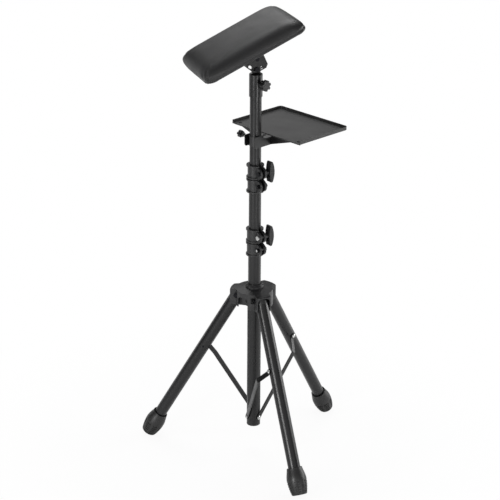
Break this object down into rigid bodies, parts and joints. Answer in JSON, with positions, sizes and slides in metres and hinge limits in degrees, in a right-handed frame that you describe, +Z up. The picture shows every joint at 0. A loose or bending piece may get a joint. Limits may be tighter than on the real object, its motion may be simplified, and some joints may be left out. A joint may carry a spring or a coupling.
{
  "type": "tattoo arm rest stand",
  "caption": "Folding tripod stand with a telescoping mast, a side tray on a tube clamp and a padded arm rest that turns and tilts.",
  "frame": {"origin": "middle of the bounding box on the floor, where the spread feet stand", "axes": "+Z up along the mast, +X towards the side that the tray and the pad's high end are on, +Y away from the front leg"},
  "size_m": [0.518, 0.5001, 1.157],
  "materials": {
    "black_paint": "satin",
    "tray_paint": "satin",
    "zinc": "bright",
    "black_plastic": "satin",
    "black_rubber": "matte",
    "black_leather": "satin"
  },
  "bodies": {
    "column": {"column_tube": "black_paint", "lower_tube": "black_paint", "column_plug": "black_plastic", "column_rivets": "zinc", "lower_collar": "black_plastic", "lower_clamp_bolt": "zinc", "lower_collar_bolt": "zinc", "lower_collar_nut": "zinc"},
    "hub": {"hub": "black_plastic", "hub_bush": "black_plastic", "hub_lock_ring": "zinc", "hub_pivot_bolts": "zinc", "hub_pivot_nuts": "zinc"},
    "lower_knob": {"lower_wing_knob": "black_plastic"},
    "mid_slider": {"mid_guide": "black_plastic"},
    "mid_mast": {"mid_tube": "black_paint", "upper_collar": "black_plastic", "upper_clamp_bolt": "zinc", "upper_collar_bolt": "zinc", "upper_collar_nut": "zinc"},
    "upper_knob": {"upper_wing_knob": "black_plastic"},
    "top_slider": {"top_guide": "black_plastic"},
    "top_mast": {"top_tube": "black_paint"},
    "tray_slider": {"tray_liner": "black_plastic"},
    "tray_arm": {"tray": "tray_paint", "tray_bracket": "black_paint", "tray_screws": "black_paint"},
    "tray_clamp_knob": {"tray_knob": "black_plastic", "tray_knob_screw": "zinc"},
    "socket": {"socket_sleeve": "black_paint", "socket_head": "black_plastic", "tilt_lock_bolt": "zinc", "tilt_lock_nut": "zinc"},
    "socket_clamp_knob": {"socket_knob": "black_plastic", "socket_knob_screw": "zinc"},
    "pad": {"tilt_bracket": "black_paint", "tilt_pivot_bolt": "zinc", "tilt_pivot_nut": "zinc", "pad_board": "black_leather", "pad_cushion": "black_leather", "pad_screws": "black_paint"},
    "leg_right": {"leg_tube_right": "black_paint", "leg_cap_right": "black_plastic", "leg_rivet_right": "black_paint", "foot_right": "black_rubber"},
    "brace_right": {"brace_right": "black_paint", "brace_rivet_right": "zinc"},
    "leg_left": {"leg_tube_left": "black_paint", "leg_cap_left": "black_plastic", "leg_rivet_left": "black_paint", "foot_left": "black_rubber"},
    "brace_left": {"brace_left": "black_paint", "brace_rivet_left": "zinc"},
    "leg_front": {"leg_tube_front": "black_paint", "leg_cap_front": "black_plastic", "leg_rivet_front": "black_paint", "foot_front": "black_rubber"},
    "brace_front": {"brace_front": "black_paint", "brace_rivet_front": "zinc"}
  },
  "joints": [
    {"name": "hub_slide", "type": "slide", "parent": "column", "child": "hub", "axis": [0, 0, 1], "range_m": [0, 0.05994]},
    {"name": "leg_right_fold", "type": "hinge", "parent": "hub", "child": "leg_right", "pos_m": [0.06257, 0.05552, 0.4355], "axis": [-0.7193, 0.6947, 0], "range_deg": [0, 29.57]},
    {"name": "leg_left_fold", "type": "hinge", "parent": "hub", "child": "leg_left", "pos_m": [-0.00753, 0.03476, 0.4355], "axis": [-0.225, -0.9744, 0], "range_deg": [0, 29.57]},
    {"name": "leg_front_fold", "type": "hinge", "parent": "hub", "child": "leg_front", "pos_m": [0.05048, -0.01306, 0.4355], "axis": [0.9135, 0.4067, 0], "range_deg": [0, 29.57]},
    {"name": "brace_right_fold", "type": "hinge", "parent": "column", "child": "brace_right", "pos_m": [0.03339, 0.02531, 0.0894], "axis": [0.7193, -0.6947, 0], "range_deg": [0, 23.99]},
    {"name": "brace_left_fold", "type": "hinge", "parent": "column", "child": "brace_left", "pos_m": [0.03339, 0.02531, 0.0894], "axis": [0.225, 0.9744, 0], "range_deg": [0, 23.99]},
    {"name": "brace_front_fold", "type": "hinge", "parent": "column", "child": "brace_front", "pos_m": [0.03339, 0.02531, 0.0894], "axis": [-0.9135, -0.4067, 0], "range_deg": [0, 23.99]},
    {"name": "lower_knob_turn", "type": "hinge", "parent": "column", "child": "lower_knob", "pos_m": [0.06578, 0.01635, 0.5975], "axis": [0.788, 0.6157, 0], "continuous": true},
    {"name": "mid_slide", "type": "slide", "parent": "column", "child": "mid_slider", "axis": [0, 0, 1], "range_m": [-0.088, 0.12]},
    {"name": "mid_turn", "type": "hinge", "parent": "mid_slider", "child": "mid_mast", "pos_m": [0.03339, 0.02531, 0.5], "axis": [0, 0, 1], "continuous": true},
    {"name": "upper_knob_turn", "type": "hinge", "parent": "mid_mast", "child": "upper_knob", "pos_m": [0.06578, 0.01635, 0.7655], "axis": [0.788, 0.6157, 0], "continuous": true},
    {"name": "top_slide", "type": "slide", "parent": "mid_mast", "child": "top_slider", "axis": [0, 0, 1], "range_m": [-0.018, 0.12]},
    {"name": "top_turn", "type": "hinge", "parent": "top_slider", "child": "top_mast", "pos_m": [0.03339, 0.02531, 0.7], "axis": [0, 0, 1], "continuous": true},
    {"name": "tray_slide", "type": "slide", "parent": "top_mast", "child": "tray_slider", "axis": [0, 0, 1], "range_m": [-0.008, 0.04]},
    {"name": "tray_turn", "type": "hinge", "parent": "tray_slider", "child": "tray_arm", "pos_m": [0.03339, 0.02531, 0.85], "axis": [0, 0, 1], "continuous": true},
    {"name": "tray_knob_turn", "type": "hinge", "parent": "tray_arm", "child": "tray_clamp_knob", "pos_m": [-0.00171, 0.06091, 0.84806], "axis": [-0.7022, 0.712, 0], "continuous": true},
    {"name": "socket_turn", "type": "hinge", "parent": "top_mast", "child": "socket", "pos_m": [0.03339, 0.02531, 0.98], "axis": [0, 0, 1], "continuous": true},
    {"name": "socket_knob_turn", "type": "hinge", "parent": "socket", "child": "socket_clamp_knob", "pos_m": [0.0548, 0.00153, 0.9895], "axis": [0.6691, -0.7431, 0], "continuous": true},
    {"name": "pad_tilt", "type": "hinge", "parent": "socket", "child": "pad", "pos_m": [0.03339, 0.02531, 1.05], "axis": [0.3486, -0.9373, 0], "range_deg": [-24.6, 37.4]}
  ],
  "couplings": [
    {"joint": "leg_right_fold", "follows": "hub_slide", "rad_per_m": 8.61},
    {"joint": "leg_left_fold", "follows": "hub_slide", "rad_per_m": 8.61},
    {"joint": "leg_front_fold", "follows": "hub_slide", "rad_per_m": 8.61},
    {"joint": "brace_right_fold", "follows": "hub_slide", "rad_per_m": 6.983},
    {"joint": "brace_left_fold", "follows": "hub_slide", "rad_per_m": 6.983},
    {"joint": "brace_front_fold", "follows": "hub_slide", "rad_per_m": 6.983}
  ]
}
